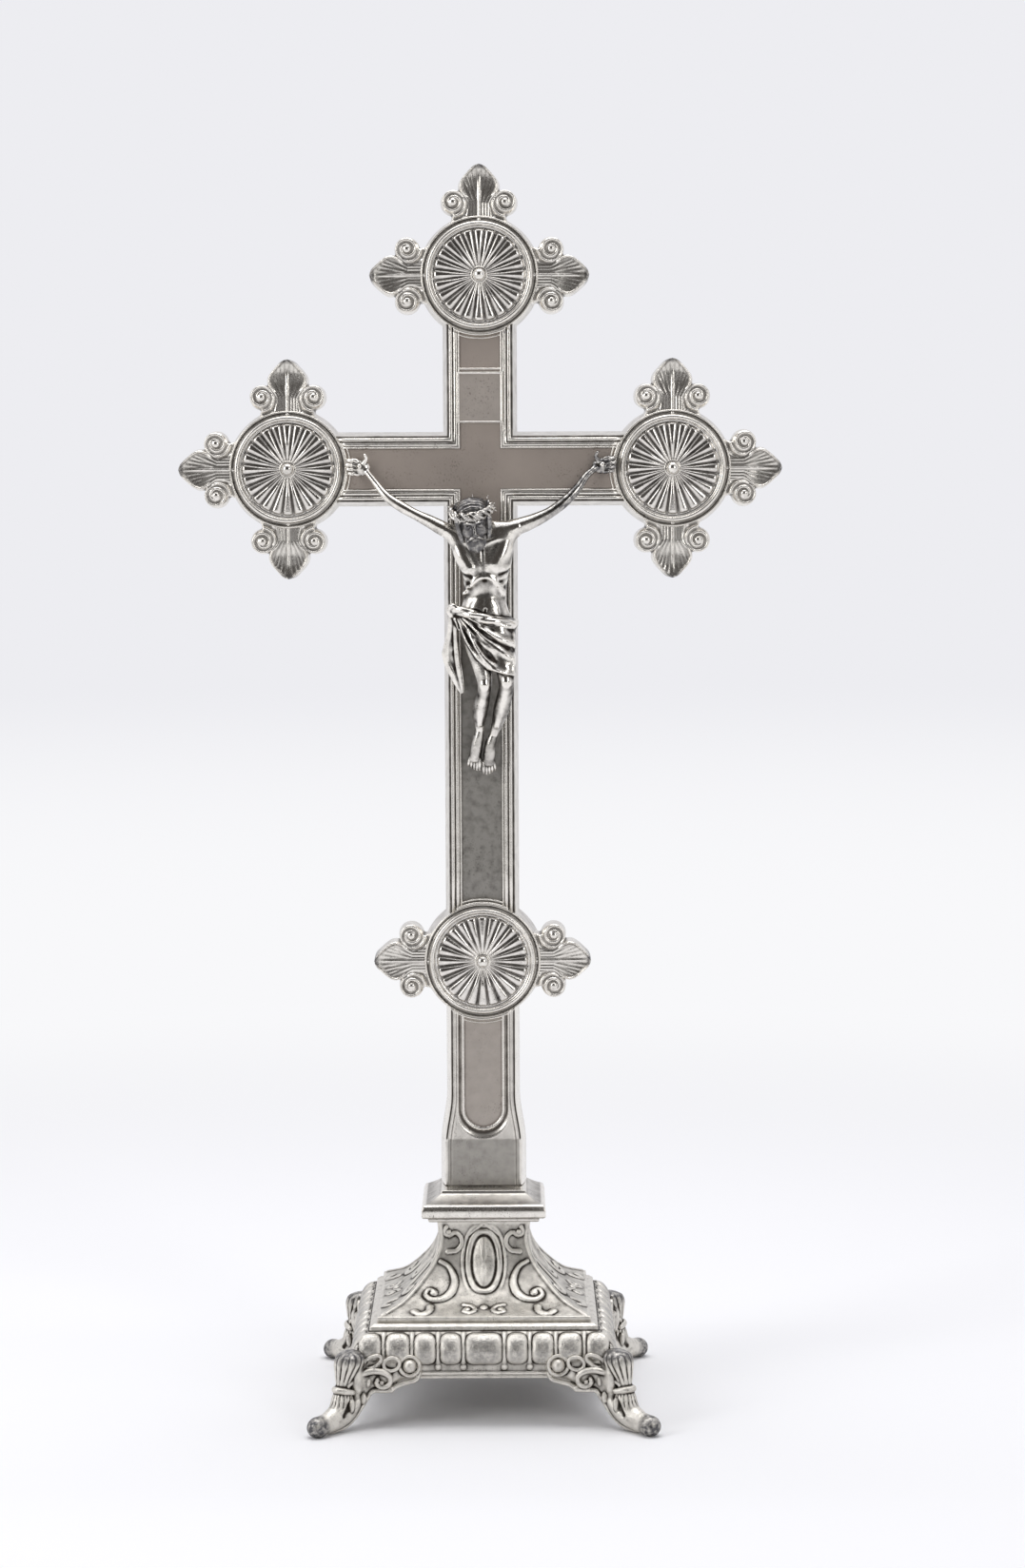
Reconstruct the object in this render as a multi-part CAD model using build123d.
from build123d import *
import os
from math import cos, radians, sin

# Standing altar crucifix: a hollow cast cross with a nailed corpus, on a footed square base.
# One tie rod pulls cross, cap, pedestal and skirt together. Millimetres.
# Origin: centre of the base on the table. +Z up, the front faces -Y, left and right are the viewer's.

# Cross casting
ARM_HEIGHT = 379.0            # axis of the arms above the table
ROUNDEL_REACH = 77.0          # crossing to the centre of each upper roundel
LOWER_ROUNDEL_DROP = 198.5    # crossing to the centre of the lower roundel
FACE_WIDTH = 25.0             # front face of shaft and arms
DRAFT = 2.6                   # how much further out each side lies at the back
HOLLOW_DEPTH = 9.2            # hollow inside the casting, front to back
FRONT_WALL = 3.0              # metal in front of the hollow
SIDE_WALL = 2.6               # metal beside the hollow at the front
RIM_WIDTH = 1.7               # low outer rim along the front face
RIM_DROP = 0.8
PANEL_WIDTH = 15.8            # sunk panel between the mouldings
PANEL_DROP = 1.2
FLARE = 2.8                   # extra half width at the foot of the shaft
FLARE_TOP = 37.5              # flare begins this far above the shaft's foot
FLARE_BOTTOM = 16.0           # and ends this far above it
LOWER_PANEL_FOOT = 22.0       # round end of the lower panel above the shaft's foot

# Roundels and rosettes
ROUNDEL_RADIUS = 24.0
ROUNDEL_DRAFT = 0.8
ROUNDEL_PROUD = 0.8           # roundel face in front of the shaft's face
RING_RADIUS = 20.9            # raised ring round the rosette
RING_BEAD = 1.0
ROSETTE_RADIUS = 19.3
ROSETTE_SEAT = 1.8            # depth of the seat that a rosette drops into
ROSETTE_THICKNESS = 1.5
ROSETTE_GAP = 0.15
PETALS = 24
PETAL_HEIGHT = 1.1
PETAL_RIM = 0.55              # raised edge round each petal
PETAL_INNER = 4.2             # petals start this far from the middle
PETAL_END = 18.6              # and end this far from it
RIVET_HEAD = 2.6
RIVET_SHANK = 1.4
RIVET_TAIL = 2.0
RIVET_GAP = 0.06

# Finials
FINIAL_REACH = 44.0           # roundel centre to the tip of the leaf
LEAF_HALF = 8.2
LEAF_CORNER = 36.0
LEAF_STEM = 6.0
NECK_HALF = 11.2
NECK_TOP_HALF = 9.0
NECK_TOP = 27.0
VOLUTE_RADIUS = 4.4
VOLUTE_OUT = 28.8
VOLUTE_SIDE = 10.3
VOLUTE_EYE = 1.5
VOLUTE_EYE_HEIGHT = 0.8
FINIAL_SET_BACK = 1.2         # finial face behind the shaft's face
FINIAL_DEPTH = 9.0
FINIAL_DRAFT = 1.4
LEAF_RIB = 0.8

# Back plate, bush and plaque
COVER_THICKNESS = 1.8
COVER_LEDGE = 1.0
COVER_GAP = 0.15
BUSH_HEIGHT = 20.0
BUSH_GAP = 0.1
PLAQUE_WIDTH = 15.2
PLAQUE_HEIGHT = 20.8
PLAQUE_THICKNESS = 0.9
PLAQUE_RISE = 18.0            # lower edge above the axis of the arms
PLAQUE_BORDER = 0.9
PLAQUE_SINK = 0.35

# Nails
NAIL_HEAD = 1.5
NAIL_HEAD_HEIGHT = 0.8
NAIL_SHANK = 0.8
NAIL_TAIL = 1.5
NAIL_TAIL_HEIGHT = 0.8
NAIL_GAP = 0.06

# Base
CAP_TOP = 88.5                # top of the cap, where the shaft stands
CAP_STEP_HALF = 17.1
CAP_STEP_HEIGHT = 1.0
CAP_SLOPE_HALF = 23.9
CAP_SLOPE_HEIGHT = 3.6
CAP_HALF = 25.0
CAP_BEVEL_HEIGHT = 1.8
CAP_FASCIA_HEIGHT = 3.7
CAP_UNDER_HALF = 22.4
CAP_UNDER_HEIGHT = 1.9
NECK_HALF_WIDTH = 18.3
WAIST_HALF_WIDTH = 17.8
PEDESTAL_HALF = 41.7
PEDESTAL_FILLET_HALF = 42.5
PEDESTAL_FILLET_HEIGHT = 2.4
PEDESTAL_WALL = 3.0
SKIRT_TOP = 40.2
SKIRT_TOP_HALF = 44.2
SKIRT_FILLET_HALF = 45.4
SKIRT_FILLET_HEIGHT = 2.8
GADROON_TOP_HALF = 46.0
GADROON_HALF = 51.5
GADROON_LOW_HALF = 49.4
RIM_HALF = 48.5
RIM_BOTTOM = 19.2             # open underside of the skirt above the table
RIM_HEIGHT = 2.7
GADROON_LOW = 4.8             # lower end of the lobes above the rim's underside
GADROON_MID = 11.5            # widest line of the lobes above the rim's underside
GADROON_GROOVE = 0.75
LOBE_EDGES = (7.8, 17.4, 26.6, 37.2)   # grooves beside the middle lobe, out to the corner
SKIRT_WALL = 5.0
DECK_THICKNESS = 3.7
DECK_HOLE_HALF = 36.0
CORNER_SEAT = 57.0            # flat seat across each inner corner, from the axis

# Tie rod
ROD_RADIUS = 2.5
ROD_CLEARANCE = 0.2
THREAD_GAP = 0.05
ROD_IN_BUSH = 16.0
BAR_LENGTH = 84.0
BAR_WIDTH = 14.0
BAR_THICKNESS = 4.0
WASHER_RADIUS = 6.0
WASHER_THICKNESS = 1.2
NUT_RADIUS = 4.6              # across the corners, halved
NUT_THICKNESS = 4.0
ROD_TAIL = 3.0

# Feet
TOE_REACH = 65.4              # toe ball from the axis, along X and along Y
TOE_RADIUS = 4.2
TOE_FLAT = 0.5                # ground off the ball where it stands
FOOT_GAP = 0.05
BRACKET_INNER = 29.5          # centre of the inner scroll from the axis
BRACKET_SCROLL = 4.6
BRACKET_SCROLL_HEIGHT = 24.6
BRACKET_SMALL = 3.2
BRACKET_SMALL_X = 41.5
BRACKET_SMALL_Z = 18.6
BRACKET_BACK = 46.5
BRACKET_FRONT = 54.2
SCREW_HEIGHT = 27.5
SCREW_RADIUS = 1.5
SCREW_HEAD = 3.0
SCREW_HEAD_HEIGHT = 2.0
SCREW_LENGTH = 23.0
SCREW_GAP = 0.05

# Planes of the cross, worked out from the walls so that the rod runs up the middle of the hollow
HOLLOW_FRONT_Y = -HOLLOW_DEPTH / 2
HOLLOW_BACK_Y = HOLLOW_DEPTH / 2
FRONT_Y = HOLLOW_FRONT_Y - FRONT_WALL
BACK_Y = HOLLOW_BACK_Y + COVER_THICKNESS
PANEL_Y = FRONT_Y + PANEL_DROP
RIM_Y = FRONT_Y + RIM_DROP
ROUNDEL_Y = FRONT_Y - ROUNDEL_PROUD
SEAT_Y = ROUNDEL_Y + ROSETTE_SEAT
ROSETTE_Y = SEAT_Y - ROSETTE_THICKNESS
FINIAL_Y = FRONT_Y + FINIAL_SET_BACK
HALF_FACE = FACE_WIDTH / 2
LOWER_ROUNDEL = ARM_HEIGHT - LOWER_ROUNDEL_DROP
ROUNDELS = {
    "top": (0, ARM_HEIGHT + ROUNDEL_REACH),
    "left": (-ROUNDEL_REACH, ARM_HEIGHT),
    "right": (ROUNDEL_REACH, ARM_HEIGHT),
    "lower": (0, LOWER_ROUNDEL),
}
FINIAL_TURNS = {"top": (0, 90, -90), "left": (0, -90, 180), "right": (0, 90, 180), "lower": (90, -90)}
HOLLOW_HALF = HALF_FACE - SIDE_WALL
HOLLOW_ROUND = ROUNDEL_RADIUS - SIDE_WALL

# Levels of the base
CAP_BOTTOM = (
    CAP_TOP - CAP_STEP_HEIGHT - CAP_SLOPE_HEIGHT - CAP_BEVEL_HEIGHT - CAP_FASCIA_HEIGHT - CAP_UNDER_HEIGHT
)
PEDESTAL_FOOT = SKIRT_TOP + PEDESTAL_FILLET_HEIGHT
DECK_UNDER = SKIRT_TOP - DECK_THICKNESS
BAR_UNDER = DECK_UNDER - BAR_THICKNESS
WASHER_UNDER = BAR_UNDER - WASHER_THICKNESS
NUT_UNDER = WASHER_UNDER - NUT_THICKNESS
HOLLOW_SKIRT_HALF = RIM_HALF - SKIRT_WALL
ROD_HOLE = ROD_RADIUS + ROD_CLEARANCE
FAR = 400.0                   # longer than anything that it cuts


def upright(y):
    """The plane at depth y whose drawing axes are X and Z, facing the viewer."""
    return Plane(origin=(0, y, 0), x_dir=(1, 0, 0), z_dir=(0, -1, 0))


def plate(outline, y_back, y_front):
    """An upright outline given thickness from y_back forward to y_front."""
    return extrude(upright(y_back) * outline, amount=y_back - y_front)


def drafted(outline, grow, y_back, y_front):
    """A casting that is grow wider at the back: outline(grow) there, outline(0) in front."""
    return loft([upright(y_back) * outline(grow), upright(y_front) * outline(0)], ruled=True)


def peg(x, z, radius, y_back, y_front):
    """A round pin along Y."""
    return plate(Pos(x, z) * Circle(radius), y_back, y_front)


def bars(half):
    """Shaft and arms as one outline of the given half width, from the shaft's foot up."""
    top = ARM_HEIGHT + ROUNDEL_REACH
    shaft = Pos(0, (CAP_TOP + top) / 2) * Rectangle(2 * half, top - CAP_TOP)
    arms = Pos(0, ARM_HEIGHT) * Rectangle(2 * ROUNDEL_REACH, 2 * half)
    return shaft + arms


def bar_blank(grow):
    """The drafted blank of the shaft alone."""
    top = ARM_HEIGHT + ROUNDEL_REACH
    return Pos(0, (CAP_TOP + top) / 2) * Rectangle(FACE_WIDTH + 2 * grow, top - CAP_TOP)


def arm_blank(grow):
    """The drafted blank of the two arms."""
    return Pos(0, ARM_HEIGHT) * Rectangle(2 * ROUNDEL_REACH, FACE_WIDTH + 2 * grow)


def flare_outline(half, grow):
    """The spreading foot of the shaft: its sides swing out from half to half plus FLARE."""
    high = CAP_TOP + FLARE_TOP
    low = CAP_TOP + FLARE_BOTTOM
    narrow = half + grow
    wide = half + FLARE + grow
    down = (0, -1)
    right = Spline((narrow, high), (wide, low), tangents=(down, down))
    left = Spline((-narrow, high), (-wide, low), tangents=(down, down))
    return make_face(
        [
            Line((-narrow, high), (narrow, high)),
            right,
            Line((wide, low), (wide, CAP_TOP)),
            Line((wide, CAP_TOP), (-wide, CAP_TOP)),
            Line((-wide, CAP_TOP), (-wide, low)),
            left,
        ]
    )


def leaf_outline(grow):
    """Pointed leaf of a finial, drawn upwards from the roundel's centre at the origin."""
    corner = (LEAF_HALF + grow, LEAF_CORNER)
    stem = (LEAF_STEM + grow, ROUNDEL_RADIUS - 2 * ROUNDEL_PROUD)
    tip = (0, FINIAL_REACH)
    bulge = (0.56 * corner[0], (corner[1] + tip[1]) / 2 + 0.35)
    return make_face(
        [
            Line((-stem[0], stem[1]), stem),
            Line(stem, corner),
            ThreePointArc(corner, bulge, tip),
            ThreePointArc(tip, (-bulge[0], bulge[1]), (-corner[0], corner[1])),
            Line((-corner[0], corner[1]), (-stem[0], stem[1])),
        ]
    )


def neck_outline(grow):
    """Flared neck that joins a finial to its roundel."""
    low = (NECK_HALF + grow, ROUNDEL_RADIUS - 3 * ROUNDEL_PROUD)
    high = (NECK_TOP_HALF + grow, NECK_TOP)
    corners = [(-low[0], low[1]), low, high, (-high[0], high[1]), (-low[0], low[1])]
    return make_face(Polyline(*corners))


def finial():
    """Leaf, neck and two volutes, standing on a roundel centred at the origin."""
    back = FINIAL_Y + FINIAL_DEPTH
    body = drafted(leaf_outline, FINIAL_DRAFT, back, FINIAL_Y)
    body += drafted(neck_outline, FINIAL_DRAFT, back, FINIAL_Y)
    for side in (-VOLUTE_SIDE, VOLUTE_SIDE):
        centre = Pos(side, VOLUTE_OUT)
        body += drafted(lambda grow: centre * Circle(VOLUTE_RADIUS + grow), FINIAL_DRAFT, back, FINIAL_Y)
        body += peg(side, VOLUTE_OUT, VOLUTE_EYE, FINIAL_Y, FINIAL_Y - VOLUTE_EYE_HEIGHT)
    rib = Pos(0, (ROUNDEL_RADIUS + LEAF_CORNER) / 2) * Rectangle(2 * LEAF_RIB, LEAF_CORNER - ROUNDEL_RADIUS)
    return body + plate(rib, FINIAL_Y, FINIAL_Y - LEAF_RIB)


def roundel(x, z):
    """Drafted disc with a raised ring round the seat of its rosette."""
    centre = Pos(x, z)
    disc = drafted(lambda grow: centre * Circle(ROUNDEL_RADIUS + grow), ROUNDEL_DRAFT, BACK_Y, ROUNDEL_Y)
    ring = Pos(x, ROUNDEL_Y, z) * Rot(90, 0, 0) * Torus(RING_RADIUS, RING_BEAD)
    return disc + ring


def cross_hollow(grow, y_back, y_front):
    """The hollow inside the casting, or what fits it, with its walls moved out by grow."""
    outline = bars(HOLLOW_HALF + grow)
    for x, z in ROUNDELS.values():
        outline += Pos(x, z) * Circle(HOLLOW_ROUND + grow)
    return plate(outline, y_back, y_front)


def panel_outline():
    """Sunk panels: one cross-shaped panel, and one with a round lower end below the lower roundel."""
    radius = PANEL_WIDTH / 2
    round_end = CAP_TOP + LOWER_PANEL_FOOT + radius
    top = ARM_HEIGHT + ROUNDEL_REACH
    outline = Pos(0, (round_end + top) / 2) * Rectangle(PANEL_WIDTH, top - round_end)
    outline += Pos(0, round_end) * Circle(radius)
    return outline + Pos(0, ARM_HEIGHT) * Rectangle(2 * ROUNDEL_REACH, PANEL_WIDTH)


def cross_front_casting():
    """Shaft, arms, roundels and finials in one hollow casting, open at the back and the foot."""
    body = drafted(bar_blank, DRAFT, BACK_Y, RIM_Y) + drafted(arm_blank, DRAFT, BACK_Y, RIM_Y)
    body += drafted(lambda grow: flare_outline(HALF_FACE, grow), DRAFT, BACK_Y, RIM_Y)
    band = bars(HALF_FACE - RIM_WIDTH) + flare_outline(HALF_FACE - RIM_WIDTH, 0)
    body += plate(band, RIM_Y, FRONT_Y)
    body -= plate(panel_outline(), PANEL_Y, FRONT_Y - ROUNDEL_PROUD)
    for name, (x, z) in ROUNDELS.items():
        body += roundel(x, z)
        for turn in FINIAL_TURNS[name]:
            body += Pos(x, 0, z) * Rot(0, turn, 0) * finial()
    body -= cross_hollow(0, BACK_Y, HOLLOW_FRONT_Y)
    body -= cross_hollow(COVER_LEDGE, BACK_Y, HOLLOW_BACK_Y)
    for x, z in ROUNDELS.values():
        body -= peg(x, z, ROSETTE_RADIUS + ROSETTE_GAP, SEAT_Y, ROUNDEL_Y - RING_BEAD)
        body -= peg(x, z, RIVET_SHANK + RIVET_GAP, HOLLOW_FRONT_Y, SEAT_Y)
    for x, z in [*HAND_NAILS.values(), *FEET_NAILS]:
        body -= peg(x, z, NAIL_SHANK + NAIL_GAP, HOLLOW_FRONT_Y, PANEL_Y)
    return body - Pos(0, 0, CAP_TOP - FAR / 2) * Box(FAR, FAR, FAR)


def cross_back_plate():
    """Cover that drops onto the ledge behind the hollow."""
    cover = cross_hollow(COVER_LEDGE - COVER_GAP, BACK_Y, HOLLOW_BACK_Y)
    return cover - Pos(0, 0, CAP_TOP - FAR / 2) * Box(FAR, FAR, FAR)


def petal(shrink):
    """Tongue that widens outwards to a round end, with its edge moved in by shrink."""
    half_turn = 180 / PETALS
    outer = PETAL_END * sin(radians(half_turn)) / (1 + sin(radians(half_turn)))
    centre = PETAL_END - outer
    inner = PETAL_INNER * sin(radians(half_turn))
    tongue = make_hull([*Circle(outer - shrink).moved(Pos(0, centre)).edges(),
                        *Circle(max(inner - shrink, inner / 4)).moved(Pos(0, PETAL_INNER + shrink)).edges()])
    return tongue


def rosette(x, z):
    """Disc with a wreath of hollow-faced petals, let into a roundel."""
    tongue = petal(ROSETTE_GAP / 2) - petal(PETAL_RIM)
    wreath = [Rot(0, 0, 360 * i / PETALS) * tongue for i in range(PETALS)]
    place = Pos(x, z)
    disc = peg(x, z, ROSETTE_RADIUS, SEAT_Y, ROSETTE_Y)
    disc += plate(place * Sketch(children=wreath), ROSETTE_Y, ROSETTE_Y - PETAL_HEIGHT)
    return disc - peg(x, z, RIVET_SHANK + RIVET_GAP, SEAT_Y, ROSETTE_Y)


def rosette_rivets():
    """Four domed rivets: head on the rosette, shank through the front wall, tail in the hollow."""
    rivets = []
    for x, z in ROUNDELS.values():
        dome = Pos(x, ROSETTE_Y, z) * Sphere(RIVET_HEAD)
        dome -= Pos(x, ROSETTE_Y + FAR / 2, z) * Box(FAR, FAR, FAR)
        shank = peg(x, z, RIVET_SHANK, HOLLOW_FRONT_Y, ROSETTE_Y)
        tail = peg(x, z, RIVET_TAIL, HOLLOW_FRONT_Y + RIVET_SHANK, HOLLOW_FRONT_Y)
        rivets.append(dome + shank + tail)
    return Compound(children=rivets)


def titulus_plate():
    """Small bare plaque with a raised border, soldered on the panel above the crossing."""
    middle = Pos(0, ARM_HEIGHT + PLAQUE_RISE + PLAQUE_HEIGHT / 2)
    face_y = PANEL_Y - PLAQUE_THICKNESS
    body = plate(middle * Rectangle(PLAQUE_WIDTH, PLAQUE_HEIGHT), PANEL_Y, face_y)
    field = Rectangle(PLAQUE_WIDTH - 2 * PLAQUE_BORDER, PLAQUE_HEIGHT - 2 * PLAQUE_BORDER)
    return body - plate(middle * field, face_y + PLAQUE_SINK, face_y)


# Corpus. Places are (x, distance in front of the sunk panel, height above the arms' axis).
TORSO = (
    (-1.5, 9.8, -25.0, 3.4, 3.4),
    (0.0, 8.8, -28.5, 10.2, 4.4),
    (-0.6, 9.0, -36.0, 10.4, 5.8),
    (0.3, 8.6, -44.0, 9.0, 5.2),
    (1.3, 8.2, -49.5, 8.0, 4.6),
    (0.9, 8.2, -57.5, 9.6, 5.4),
    (1.4, 8.8, -68.0, 9.0, 5.4),
)
CLOTH = (
    (0.8, 8.4, -54.5, 10.2, 6.0),
    (1.2, 8.8, -62.0, 10.6, 6.6),
    (3.0, 9.8, -72.0, 9.4, 6.8),
    (5.6, 10.8, -80.5, 7.4, 6.2),
)
LEFT_LEG = (
    (-1.8, 8.8, -66.0, 5.0, 5.0),
    (-0.4, 11.2, -77.0, 4.2, 4.4),
    (0.6, 12.6, -88.0, 3.1, 3.3),
    (-0.8, 10.0, -96.0, 3.1, 3.4),
    (-1.6, 6.4, -106.0, 2.0, 2.1),
    (-2.0, 5.0, -110.0, 2.1, 2.3),
)
RIGHT_LEG = (
    (5.0, 9.2, -66.0, 4.8, 5.0),
    (7.0, 11.8, -75.0, 4.2, 4.4),
    (8.4, 13.4, -85.5, 3.2, 3.4),
    (6.6, 10.6, -95.0, 3.0, 3.4),
    (3.8, 6.8, -107.0, 2.0, 2.1),
    (3.0, 5.2, -111.0, 2.1, 2.3),
)
LEFT_ARM = (
    (-9.6, 8.8, -30.5, 3.6, 3.6),
    (-14.5, 8.8, -25.5, 3.2, 3.2),
    (-25.8, 8.2, -18.6, 2.6, 2.6),
    (-33.5, 7.2, -11.0, 2.3, 2.3),
    (-40.5, 5.2, -4.2, 1.9, 1.9),
    (-45.2, 2.8, -0.6, 1.6, 1.6),
    (-48.3, 1.4, 1.0, 1.6, 2.3),
    (-50.4, 1.1, 1.8, 1.2, 2.0),
)
RIGHT_ARM = (
    (9.4, 8.8, -29.5, 3.6, 3.6),
    (14.5, 8.8, -24.5, 3.3, 3.3),
    (26.5, 8.2, -19.4, 2.7, 2.7),
    (36.0, 7.2, -11.8, 2.3, 2.3),
    (42.5, 5.2, -4.4, 1.9, 1.9),
    (46.0, 2.8, -0.6, 1.6, 1.6),
    (48.9, 1.4, 1.4, 1.6, 2.3),
    (50.8, 1.1, 2.4, 1.2, 2.0),
)
ARMS = {"left": LEFT_ARM, "right": RIGHT_ARM}
PALM = 6                      # which section of an arm is the middle of the palm
HEAD = (-3.0, 13.8, -20.0)
HEAD_SIZE = (6.4, 7.4, 9.0)
HAIR = (-2.6, 12.4, -19.4)
HAIR_SIZE = (8.0, 7.4, 10.0)
BEARD = (-3.6, 17.4, -28.2)
BEARD_SIZE = (4.4, 3.6, 4.4)
HEAD_TURN = (16, 8, 0)
CROWN = (-3.2, 13.6, -14.6)
CROWN_RADIUS = 8.2
CROWN_BEAD = 1.4
CROWN_TURN = (14, 17, 0)
KNOT = (-10.6, 9.0, -58.0)
KNOT_RADIUS = 2.9
CLOTH_TAIL = (
    (-9.0, -56.0), (-12.6, -58.0), (-13.2, -68.0), (-15.6, -76.5), (-8.6, -90.0), (-6.8, -88.5), (-9.0, -72.0)
)
TAIL_BACK = 2.0               # back of the hanging cloth in front of the panel
TAIL_THICKNESS = 3.6
FEET = ((-2.8, 3.0, -114.5), (2.2, 3.4, -116.0))
FOOT_SIZE = (2.4, 2.7, 6.2)
FOOT_TURN = 12
FINGER_SPREAD = (-48, -16, 16, 48)
FINGER_ROOT = 1.9             # fingers start this far from the middle of the palm
FINGER_LENGTH = 2.0
FINGER_BASE = 0.75
FINGER_TIP = 0.5
HAND_NAILS = {side: (arm[PALM][0], ARM_HEIGHT + arm[PALM][2]) for side, arm in ARMS.items()}
FEET_NAILS = [(x, ARM_HEIGHT + rise + FOOT_SIZE[2] / 3) for x, out, rise in FEET]


def spot(x, out, rise):
    """A corpus place in the frame of the whole object."""
    return (x, PANEL_Y - out, ARM_HEIGHT + rise)


def lump(place, size, turn=(0, 0, 0)):
    """Ellipsoid with the given half sizes."""
    return Pos(*spot(*place)) * Rot(*turn) * scale(Sphere(1), by=size)


def trunk(sections):
    """Smooth solid through level ellipses, each with its place, half width and half depth."""
    return loft([Pos(*spot(x, out, rise)) * Ellipse(wide, deep) for x, out, rise, wide, deep in sections])


def limb(sections):
    """Smooth solid through ellipses that stand square to the limb's line, half depth before half width."""
    centres = [Vector(*spot(*section[:3])) for section in sections]
    rings = []
    for i, section in enumerate(sections):
        along = centres[min(i + 1, len(centres) - 1)] - centres[max(i - 1, 0)]
        rings.append(Plane(origin=centres[i], x_dir=(0, -1, 0), z_dir=along) * Ellipse(*section[3:]))
    return loft(rings)


def behind_panel():
    """Everything behind the face of the sunk panels."""
    return Pos(0, PANEL_Y + FAR / 2, ARM_HEIGHT) * Box(FAR, FAR, FAR)


def corpus_body():
    """Head, torso, cloth and legs, one casting that meets the cross only under the feet."""
    body = trunk(TORSO) + trunk(CLOTH) + trunk(LEFT_LEG) + trunk(RIGHT_LEG)
    body += lump(HEAD, HEAD_SIZE, HEAD_TURN) + lump(HAIR, HAIR_SIZE, HEAD_TURN)
    body += lump(BEARD, BEARD_SIZE, HEAD_TURN)
    body += Pos(*spot(*CROWN)) * Rot(*CROWN_TURN) * Torus(CROWN_RADIUS, CROWN_BEAD)
    body += Pos(*spot(*KNOT)) * Sphere(KNOT_RADIUS)
    tail = [(x, ARM_HEIGHT + rise) for x, rise in CLOTH_TAIL]
    tail_y = PANEL_Y - TAIL_BACK
    body += plate(make_face(Polyline(*tail, close=True)), tail_y, tail_y - TAIL_THICKNESS)
    for place in FEET:
        body += lump(place, FOOT_SIZE, (FOOT_TURN, 0, 0))
    body -= behind_panel()
    for place, (x, z) in zip(FEET, FEET_NAILS):
        body -= nail_room(x, z, foot_nail_y(place))
    return body


def nail_room(x, z, head_y):
    """Hole for a nail's shank in front of the panel, with a flat seat for its head at head_y."""
    hole = peg(x, z, NAIL_SHANK + NAIL_GAP, PANEL_Y, head_y)
    return hole + peg(x, z, NAIL_HEAD + NAIL_GAP, head_y, PANEL_Y - FAR / 4)


def palm_nail_y(side):
    """Depth at which a hand nail's head lies."""
    x, out, rise, deep, wide = ARMS[side][PALM]
    return PANEL_Y - out - deep


def foot_nail_y(place):
    """Depth at which a foot nail's head lies."""
    return PANEL_Y - place[1] - FOOT_SIZE[1]


def corpus_arm(side):
    """One arm with its hand: soldered to the body at the shoulder, flat where it lies on the panel."""
    palm_x, palm_out, palm_rise = ARMS[side][PALM][:3]
    outward = 1 if palm_x > 0 else -1
    upward = (Align.CENTER, Align.CENTER, Align.MIN)
    arm = limb(ARMS[side])
    for angle in FINGER_SPREAD:
        across = outward * cos(radians(angle)) * FINGER_ROOT
        up = sin(radians(angle)) * FINGER_ROOT
        root = Vector(*spot(palm_x + across, palm_out, palm_rise + up))
        along = Vector(across, 0, up)
        arm += Plane(origin=root, z_dir=along) * Cone(FINGER_BASE, FINGER_TIP, FINGER_LENGTH, align=upward)
    arm -= behind_panel()
    x, z = HAND_NAILS[side]
    return arm - nail_room(x, z, palm_nail_y(side))


def nail(x, z, head_y):
    """Round-headed nail from head_y back through the panel, turned over in the hollow."""
    head = peg(x, z, NAIL_HEAD, head_y, head_y - NAIL_HEAD_HEIGHT)
    shank = peg(x, z, NAIL_SHANK, HOLLOW_FRONT_Y, head_y)
    tail = peg(x, z, NAIL_TAIL, HOLLOW_FRONT_Y + NAIL_TAIL_HEIGHT, HOLLOW_FRONT_Y)
    return head + shank + tail


def hand_nail(side):
    """Nail whose head lies on the palm."""
    x, z = HAND_NAILS[side]
    return nail(x, z, palm_nail_y(side))


def feet_nails():
    """Two nails, one through each foot."""
    nails = [nail(x, z, foot_nail_y(place)) for place, (x, z) in zip(FEET, FEET_NAILS)]
    return Compound(children=nails)


def square_turned(side_edges, low, high):
    """Square solid whose four sides follow the same half outline, mitred at the corners."""
    outline = [
        *side_edges,
        Line((high[0], high[1]), (0, high[1])),
        Line((0, high[1]), (0, low[1])),
        Line((0, low[1]), (low[0], low[1])),
    ]
    half = make_face(outline)
    face = upright(0) * (half + mirror(half, about=Plane.YZ))
    across = extrude(face, amount=FAR, both=True)
    return across & (Rot(0, 0, 90) * across)


def rod_hole(low, high):
    """Clearance hole for the tie rod between two heights."""
    return Pos(0, 0, low) * Cylinder(ROD_HOLE, high - low, align=(Align.CENTER, Align.CENTER, Align.MIN))


def plinth_cap():
    """Moulded square cap: step, sloping top, bevel, fascia and a narrower bed below."""
    levels = [(CAP_STEP_HALF, CAP_TOP), (CAP_STEP_HALF, CAP_TOP - CAP_STEP_HEIGHT)]
    levels.append((CAP_SLOPE_HALF, levels[-1][1] - CAP_SLOPE_HEIGHT))
    levels.append((CAP_HALF, levels[-1][1] - CAP_BEVEL_HEIGHT))
    levels.append((CAP_HALF, levels[-1][1] - CAP_FASCIA_HEIGHT))
    levels.append((CAP_UNDER_HALF, levels[-1][1]))
    levels.append((CAP_UNDER_HALF, CAP_BOTTOM))
    side = Polyline(*reversed(levels)).edges()
    return square_turned(side, levels[-1], levels[0]) - rod_hole(CAP_BOTTOM, CAP_TOP)


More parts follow.
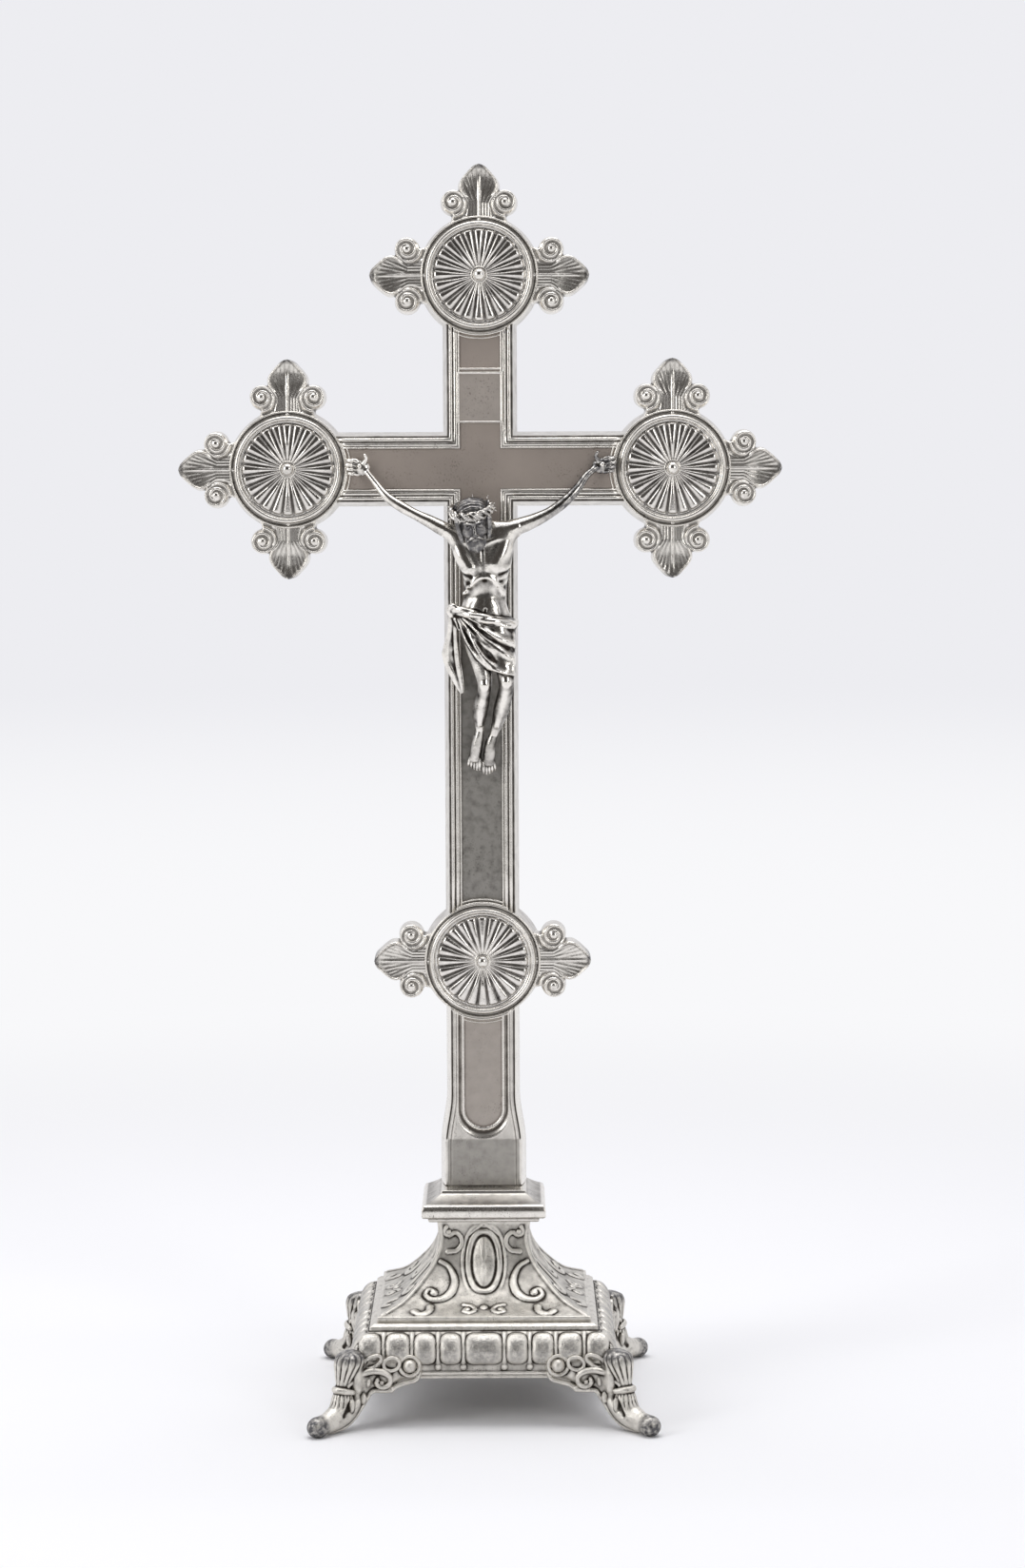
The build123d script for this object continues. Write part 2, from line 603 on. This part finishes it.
def pedestal_envelope(grow):
    """Concave flaring pedestal with its foot fillet, sides moved out by grow."""
    height = CAP_BOTTOM - PEDESTAL_FOOT
    reach = PEDESTAL_HALF - WAIST_HALF_WIDTH
    foot = (PEDESTAL_FILLET_HALF + grow, SKIRT_TOP)
    shoulder = (PEDESTAL_FILLET_HALF + grow, PEDESTAL_FOOT)
    toe = (PEDESTAL_HALF + grow, PEDESTAL_FOOT)
    top = (NECK_HALF_WIDTH + grow, CAP_BOTTOM)
    curve = Spline(
        toe,
        (WAIST_HALF_WIDTH + 0.62 * reach + grow, PEDESTAL_FOOT + 0.12 * height),
        (WAIST_HALF_WIDTH + 0.36 * reach + grow, PEDESTAL_FOOT + 0.29 * height),
        (WAIST_HALF_WIDTH + 0.10 * reach + grow, PEDESTAL_FOOT + 0.53 * height),
        (WAIST_HALF_WIDTH + grow, PEDESTAL_FOOT + 0.76 * height),
        top,
    )
    return square_turned([*Polyline(foot, shoulder, toe).edges(), curve], foot, top)


def pedestal():
    """Thin-walled pedestal, open below, with a hole in its top for the rod."""
    inside = Pos(0, 0, -PEDESTAL_WALL) * pedestal_envelope(-PEDESTAL_WALL)
    return pedestal_envelope(0) - inside - rod_hole(CAP_BOTTOM - 2 * PEDESTAL_WALL, CAP_BOTTOM)


def skirt_envelope(grow):
    """Fillet, gadrooned swell and rim of the skirt, sides moved out by grow."""
    points = {
        "rim_foot": (RIM_HALF, RIM_BOTTOM),
        "rim_top": (RIM_HALF, RIM_BOTTOM + RIM_HEIGHT),
        "low": (GADROON_LOW_HALF, RIM_BOTTOM + GADROON_LOW),
        "mid": (GADROON_HALF, RIM_BOTTOM + GADROON_MID),
        "high": (GADROON_TOP_HALF, SKIRT_TOP - SKIRT_FILLET_HEIGHT),
        "fillet": (SKIRT_FILLET_HALF, SKIRT_TOP - SKIRT_FILLET_HEIGHT),
        "fillet_top": (SKIRT_FILLET_HALF, SKIRT_TOP - SKIRT_FILLET_HEIGHT / 3),
        "top": (SKIRT_TOP_HALF, SKIRT_TOP),
    }
    out = {name: (half + grow, z) for name, (half, z) in points.items()}
    side = [
        *Polyline(out["rim_foot"], out["rim_top"], out["low"]).edges(),
        ThreePointArc(out["low"], out["mid"], out["high"]),
        *Polyline(out["high"], out["fillet"], out["fillet_top"], out["top"]).edges(),
    ]
    return square_turned(side, out["rim_foot"], out["top"])


def gadroon_groove():
    """Groove over the swell at the middle of the front, to be set beside each lobe."""
    low = (GADROON_LOW_HALF, RIM_BOTTOM + GADROON_LOW)
    mid = (GADROON_HALF, RIM_BOTTOM + GADROON_MID)
    high = (GADROON_TOP_HALF, SKIRT_TOP - SKIRT_FILLET_HEIGHT)
    side_view = Plane(origin=(0, 0, 0), x_dir=(0, -1, 0), z_dir=(-1, 0, 0))
    path = side_view * ThreePointArc(low, mid, high)
    start = path @ 0
    return sweep(Plane(origin=start, z_dir=path % 0) * Circle(GADROON_GROOVE), path=path)


def skirt():
    """Open-bottomed skirt with a deck, lobed sides and a flat screw seat across each inner corner."""
    body = skirt_envelope(0)
    depth = DECK_UNDER - RIM_BOTTOM
    middle = Pos(0, 0, RIM_BOTTOM + depth / 2)
    room = middle * Box(2 * HOLLOW_SKIRT_HALF, 2 * HOLLOW_SKIRT_HALF, depth)
    body -= room & (middle * Rot(0, 0, 45) * Box(2 * CORNER_SEAT, 2 * CORNER_SEAT, depth))
    body -= Pos(0, 0, SKIRT_TOP) * Box(2 * DECK_HOLE_HALF, 2 * DECK_HOLE_HALF, 3 * DECK_THICKNESS)
    groove = gadroon_groove()
    for quarter in range(4):
        for edge in LOBE_EDGES:
            for x in (-edge, edge):
                body -= Rot(0, 0, 90 * quarter) * Pos(x, 0, 0) * groove
        body -= screw_line(quarter, SCREW_RADIUS + SCREW_GAP)
    return body


def corner(quarter):
    """Frame at a corner's screw seat: Z runs out along the diagonal of that corner."""
    angle = radians(45 + 90 * quarter)
    out = (cos(angle), sin(angle), 0)
    seat = (CORNER_SEAT * out[0], CORNER_SEAT * out[1], SCREW_HEIGHT)
    return Plane(origin=seat, x_dir=(0, 0, 1), z_dir=out)


def screw_line(quarter, radius):
    """Round rod along a foot screw's shank."""
    upward = (Align.CENTER, Align.CENTER, Align.MIN)
    return corner(quarter) * Cylinder(radius, SCREW_LENGTH, align=upward)


def foot_screws():
    """Four screws, heads on the corner seats inside the skirt."""
    downward = (Align.CENTER, Align.CENTER, Align.MAX)
    screws = []
    for quarter in range(4):
        head = corner(quarter) * Cylinder(SCREW_HEAD, SCREW_HEAD_HEIGHT, align=downward)
        screws.append(head + screw_line(quarter, SCREW_RADIUS))
    return Compound(children=screws)


# Cabriole leg in the corner's diagonal plane: (distance from the axis, height, half width, half depth)
LEG = (
    (71.0, 31.5, 8.0, 4.0),
    (76.0, 28.5, 8.8, 6.0),
    (80.0, 21.5, 7.0, 5.4),
    (82.6, 13.0, 5.0, 4.2),
    (86.4, 6.6, 4.6, 3.6),
    (91.0, 4.2, 4.2, 3.4),
)


def leg():
    """Knee, shank and instep of the foot on the +X +Y corner, smooth through ellipses along its line."""
    diagonal = Vector(1, 1, 0).normalized()
    centres = [diagonal * s + Vector(0, 0, z) for s, z, wide, deep in LEG]
    across = Vector(-1, 1, 0).normalized()
    rings = []
    for i, (s, z, wide, deep) in enumerate(LEG):
        along = centres[min(i + 1, len(LEG) - 1)] - centres[max(i - 1, 0)]
        rings.append(Plane(origin=centres[i], x_dir=across, z_dir=along) * Ellipse(wide, deep))
    return loft(rings)


def bracket():
    """Scroll bracket along the +Y side of the skirt, from the knee in to its volute."""
    edge = BRACKET_FRONT
    top_in = (BRACKET_INNER, BRACKET_SCROLL_HEIGHT + BRACKET_SCROLL)
    low_in = (BRACKET_INNER, BRACKET_SCROLL_HEIGHT - BRACKET_SCROLL)
    top_out = (edge, BRACKET_SCROLL_HEIGHT + BRACKET_SCROLL)
    low_out = (edge, BRACKET_SMALL_Z - 2 * BRACKET_SMALL)
    under = (BRACKET_SMALL_X, BRACKET_SMALL_Z - BRACKET_SMALL)
    outline = make_face(Polyline(low_in, under, low_out, top_out, top_in, close=True))
    outline += Pos(BRACKET_INNER, BRACKET_SCROLL_HEIGHT) * Circle(BRACKET_SCROLL)
    outline += Pos(BRACKET_SMALL_X, BRACKET_SMALL_Z) * Circle(BRACKET_SMALL)
    return plate(outline, BRACKET_FRONT, BRACKET_BACK)


def foot(quarter):
    """One cabriole foot with two scroll brackets, fitted round a corner of the skirt."""
    side = bracket()
    body = leg() + side + mirror(side, about=Plane(origin=(0, 0, 0), z_dir=(1, -1, 0)))
    body += Pos(TOE_REACH, TOE_REACH, TOE_RADIUS - TOE_FLAT) * Sphere(TOE_RADIUS)
    body -= skirt_envelope(FOOT_GAP)
    body -= Pos(0, 0, SKIRT_TOP) * Box(2 * RIM_HALF, 2 * RIM_HALF, FAR)
    body -= Pos(0, 0, -FAR / 2) * Box(FAR, FAR, FAR)
    body -= screw_line(0, SCREW_RADIUS + SCREW_GAP)
    return Rot(0, 0, 90 * quarter) * body


def shaft_bush():
    """Threaded block soldered into the foot of the hollow shaft."""
    upward = (Align.CENTER, Align.CENTER, Align.MIN)
    wide = 2 * (HOLLOW_HALF - BUSH_GAP)
    deep = HOLLOW_DEPTH - 2 * BUSH_GAP
    block = Pos(0, 0, CAP_TOP) * Box(wide, deep, BUSH_HEIGHT, align=upward)
    return block - Pos(0, 0, CAP_TOP) * Cylinder(ROD_RADIUS + THREAD_GAP, BUSH_HEIGHT, align=upward)


def tie_rod():
    """Long rod from below the nut up into the bush."""
    low = NUT_UNDER - ROD_TAIL
    upward = (Align.CENTER, Align.CENTER, Align.MIN)
    return Pos(0, 0, low) * Cylinder(ROD_RADIUS, CAP_TOP + ROD_IN_BUSH - low, align=upward)


def tie_washer():
    """Washer between nut and bar."""
    upward = (Align.CENTER, Align.CENTER, Align.MIN)
    ring = Cylinder(WASHER_RADIUS, WASHER_THICKNESS, align=upward)
    return Pos(0, 0, WASHER_UNDER) * ring - rod_hole(WASHER_UNDER, BAR_UNDER)


def tie_nut():
    """Hexagon nut on the rod's lower end."""
    upward = (Align.CENTER, Align.CENTER, Align.MIN)
    blank = extrude(RegularPolygon(NUT_RADIUS, 6), amount=NUT_THICKNESS)
    blank -= Cylinder(ROD_RADIUS + THREAD_GAP, NUT_THICKNESS, align=upward)
    return Pos(0, 0, NUT_UNDER) * blank


def bridge_bar():
    """Flat bar that spans the deck's opening from below."""
    upward = (Align.CENTER, Align.CENTER, Align.MIN)
    bar = Pos(0, 0, BAR_UNDER) * Box(BAR_LENGTH, BAR_WIDTH, BAR_THICKNESS, align=upward)
    return bar - rod_hole(BAR_UNDER, DECK_UNDER)


def build():
    """Every piece by node name."""
    body = corpus_body()
    pieces = {
        "cross_front_casting": cross_front_casting(),
        "cross_back_plate": cross_back_plate(),
        "rosette_rivets": rosette_rivets(),
        "titulus_plate": titulus_plate(),
        "corpus_body": body,
        "corpus_left_arm": corpus_arm("left") - body,
        "corpus_right_arm": corpus_arm("right") - body,
        "left_hand_nail": hand_nail("left"),
        "right_hand_nail": hand_nail("right"),
        "feet_nails": feet_nails(),
        "plinth_cap": plinth_cap(),
        "pedestal": pedestal(),
        "skirt": skirt(),
        "foot_screws": foot_screws(),
        "shaft_bush": shaft_bush(),
        "tie_rod": tie_rod(),
        "tie_washer": tie_washer(),
        "tie_nut": tie_nut(),
        "bridge_bar": bridge_bar(),
    }
    for name, (x, z) in ROUNDELS.items():
        pieces[f"{name}_rosette"] = rosette(x, z)
    for quarter, name in enumerate(("rear_right", "rear_left", "front_left", "front_right")):
        pieces[f"{name}_foot"] = foot(quarter)
    return pieces


os.makedirs("parts", exist_ok=True)
for name, piece in build().items():
    export_step(piece, f"parts/{name}.step")
    print(name, round(piece.volume), "mm3")
